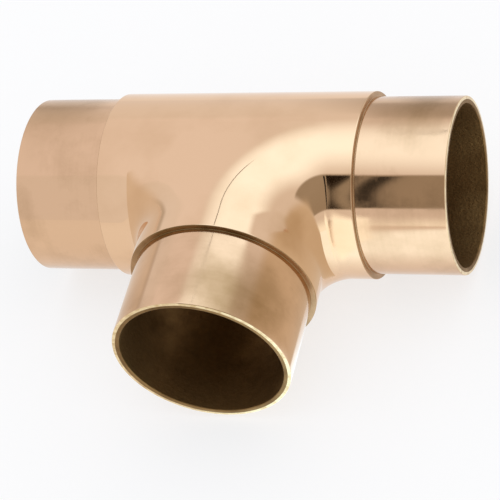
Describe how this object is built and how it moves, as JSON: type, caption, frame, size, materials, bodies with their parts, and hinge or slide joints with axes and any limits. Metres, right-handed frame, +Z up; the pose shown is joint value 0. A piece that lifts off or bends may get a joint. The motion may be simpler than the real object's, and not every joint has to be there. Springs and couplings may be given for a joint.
{
  "type": "brass tubing tee",
  "caption": "Flush tee fitting in polished brass that joins round tubes at a right angle: a blended run and branch with a thin slip-in spigot on each arm.",
  "frame": {"origin": "under the middle of the tee's box, on the surface that the tee lies on", "axes": "+X along the run, -Y along the branch, +Z up out of the plane of the three arms"},
  "size_m": [0.1212, 0.086, 0.0508],
  "materials": {
    "brass": "polished outside, as cast and dull in the bore"
  },
  "bodies": {
    "root": {"tee_body": "brass"}
  },
  "joints": []
}
